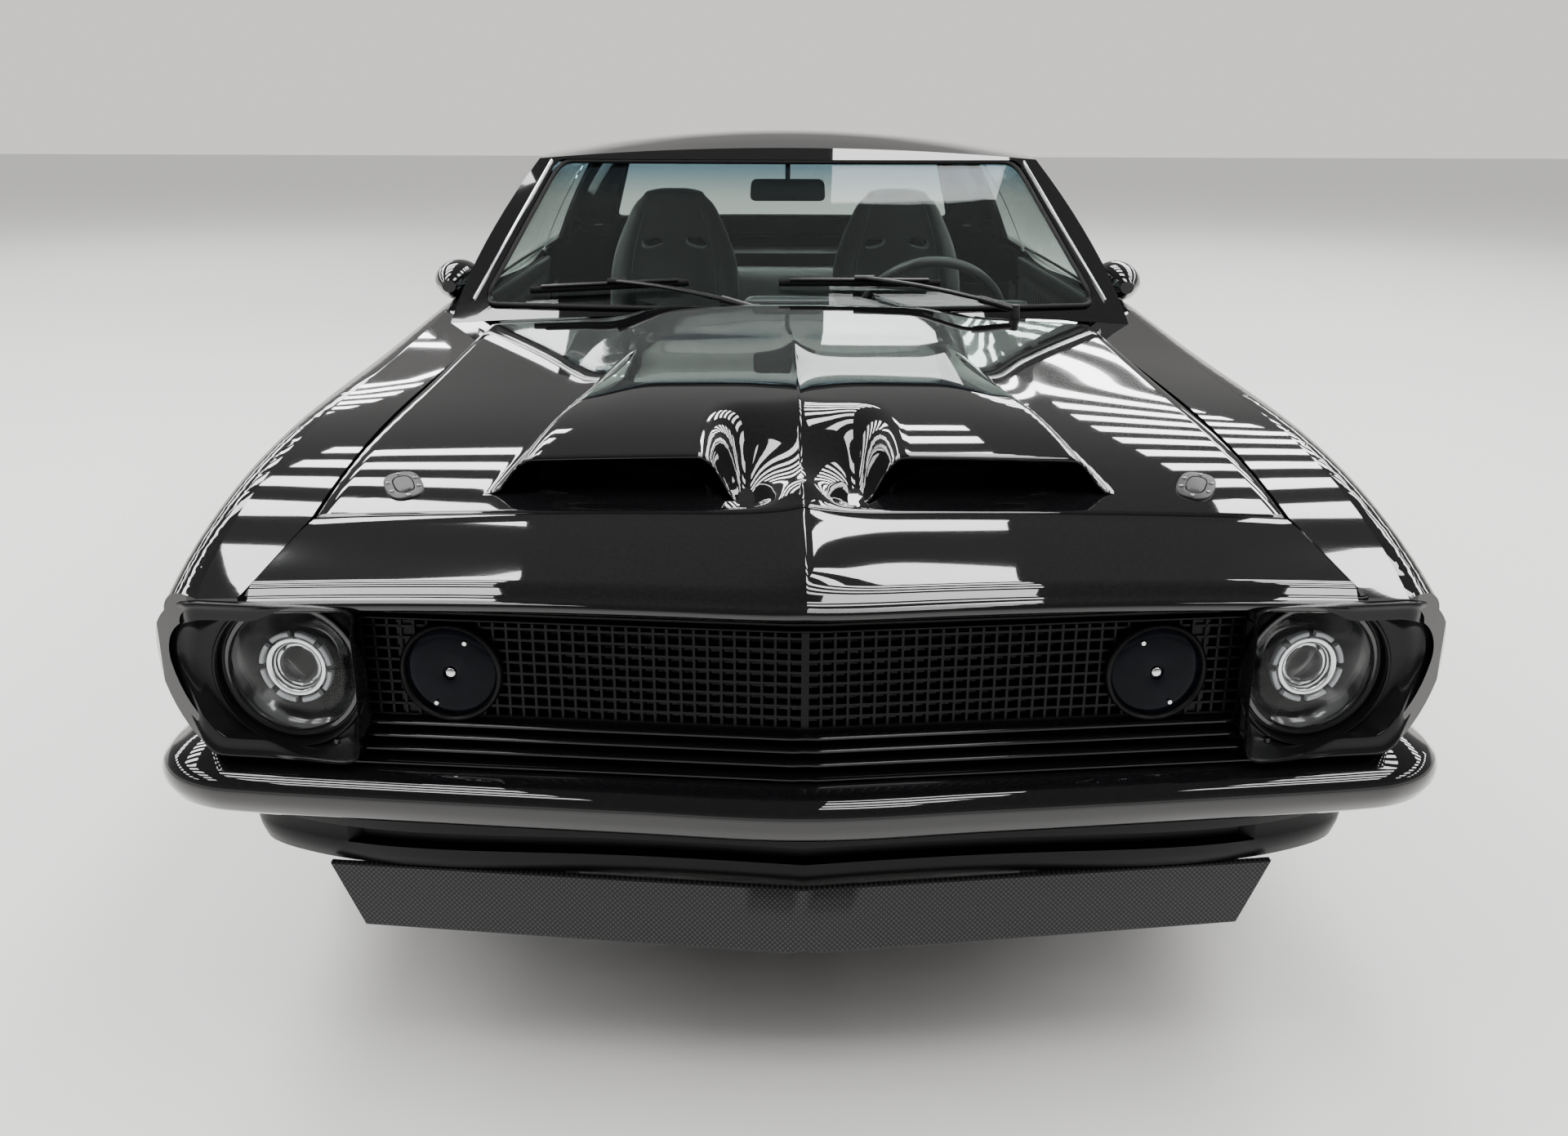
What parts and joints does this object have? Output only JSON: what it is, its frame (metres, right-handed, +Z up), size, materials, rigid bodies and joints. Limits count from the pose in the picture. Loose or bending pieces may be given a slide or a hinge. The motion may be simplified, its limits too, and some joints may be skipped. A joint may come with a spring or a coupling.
{
  "type": "two-door hardtop coupe",
  "caption": "Late-sixties hardtop coupe with scooped hood, egg-crate grille, round lamps, opening doors, hood and trunk lid, and steered wheels",
  "frame": {"origin": "on the floor under the middle of the car's length and width", "axes": "+Z up, -Y forwards (the nose), +X to the car's left"},
  "size_m": [1.834, 4.69, 1.3012],
  "materials": {
    "paint": "gloss",
    "trim_black": "satin",
    "structure": "matte",
    "glass": "clear",
    "lamp_glass": "clear",
    "lamp_red": "gloss",
    "carbon": "semi-gloss weave",
    "seat_fabric": "woven",
    "dash_leather": "stitched",
    "soft_plastic": "matte",
    "steel": "satin",
    "iron": "rough",
    "alloy": "satin dark",
    "tyre": "matte",
    "mirror": "gloss"
  },
  "bodies": {
    "chassis": {"front_fenders": "paint", "nose_panel": "paint", "cowl_panel": "paint", "quarter_panels": "paint", "tail_panel": "paint", "tail_lamps": "lamp_red", "roof_shell": "paint", "windshield": "glass", "rear_window": "glass", "quarter_glass": "glass", "body_frame": "structure", "rear_wheelhouses": "structure", "trunk_gutter": "structure", "engine_bay": "structure", "radiator": "alloy", "grille": "trim_black", "headlamp_bezels": "trim_black", "headlamps": "lamp_glass", "driving_lamps": "lamp_glass", "front_bumper": "paint", "rear_bumper": "paint", "front_valance": "paint", "rear_valance": "paint", "chin_spoiler": "carbon", "wipers": "trim_black", "inside_mirror": "soft_plastic", "dashboard": "dash_leather", "front_seats": "seat_fabric", "rear_seat": "seat_fabric", "front_subframe": "steel", "steering_gear": "iron", "rear_axle": "iron", "engine": "iron", "driveline": "steel", "exhaust": "steel", "fuel_tank": "structure"},
    "hood": {"hood": "paint"},
    "trunk_lid": {"trunk_lid": "paint"},
    "door_left": {"door_left": "paint", "door_glass_left": "glass", "mirror_left": "mirror"},
    "door_right": {"door_right": "paint", "door_glass_right": "glass", "mirror_right": "mirror"},
    "knuckle_left": {"knuckle_left": "steel"},
    "knuckle_right": {"knuckle_right": "steel"},
    "steering_wheel": {"steering_wheel": "dash_leather"},
    "wheel_front_left": {"wheel_front_left": "alloy", "tyre_front_left": "tyre"},
    "wheel_front_right": {"wheel_front_right": "alloy", "tyre_front_right": "tyre"},
    "wheel_rear_left": {"wheel_rear_left": "alloy", "tyre_rear_left": "tyre"},
    "wheel_rear_right": {"wheel_rear_right": "alloy", "tyre_rear_right": "tyre"}
  },
  "joints": [
    {"name": "steer_left", "type": "hinge", "parent": "chassis", "child": "knuckle_left", "pos_m": [0.664, -1.413, 0.3275], "axis": [0, 0, 1], "range_deg": [-32, 32]},
    {"name": "steer_right", "type": "hinge", "parent": "chassis", "child": "knuckle_right", "pos_m": [-0.664, -1.413, 0.3275], "axis": [0, 0, 1], "range_deg": [-32, 32]},
    {"name": "steering_wheel_turn", "type": "hinge", "parent": "chassis", "child": "steering_wheel", "pos_m": [0.35, -0.5, 0.846], "axis": [0, 0.9135, 0.4067], "range_deg": [-512, 512]},
    {"name": "roll_front_left", "type": "hinge", "parent": "knuckle_left", "child": "wheel_front_left", "pos_m": [0.75, -1.413, 0.3275], "axis": [1, 0, 0], "continuous": true},
    {"name": "roll_front_right", "type": "hinge", "parent": "knuckle_right", "child": "wheel_front_right", "pos_m": [-0.75, -1.413, 0.3275], "axis": [1, 0, 0], "continuous": true},
    {"name": "roll_rear_left", "type": "hinge", "parent": "chassis", "child": "wheel_rear_left", "pos_m": [0.75, 1.333, 0.34], "axis": [1, 0, 0], "continuous": true},
    {"name": "roll_rear_right", "type": "hinge", "parent": "chassis", "child": "wheel_rear_right", "pos_m": [-0.75, 1.333, 0.34], "axis": [1, 0, 0], "continuous": true},
    {"name": "door_left_hinge", "type": "hinge", "parent": "chassis", "child": "door_left", "pos_m": [0.9, -0.64, 0.6], "axis": [0, 0, -1], "range_deg": [0, 65]},
    {"name": "door_right_hinge", "type": "hinge", "parent": "chassis", "child": "door_right", "pos_m": [-0.9, -0.64, 0.6], "axis": [0, 0, 1], "range_deg": [0, 65]},
    {"name": "hood_hinge", "type": "hinge", "parent": "chassis", "child": "hood", "pos_m": [0, -0.92, 0.943], "axis": [-1, 0, 0], "range_deg": [0, 50]},
    {"name": "trunk_lid_hinge", "type": "hinge", "parent": "chassis", "child": "trunk_lid", "pos_m": [0, 1.4425, 0.967], "axis": [1, 0, 0], "range_deg": [0, 70]}
  ],
  "couplings": [
    {"joint": "steer_right", "follows": "steer_left", "ratio": 1},
    {"joint": "steering_wheel_turn", "follows": "steer_left", "ratio": 16}
  ]
}
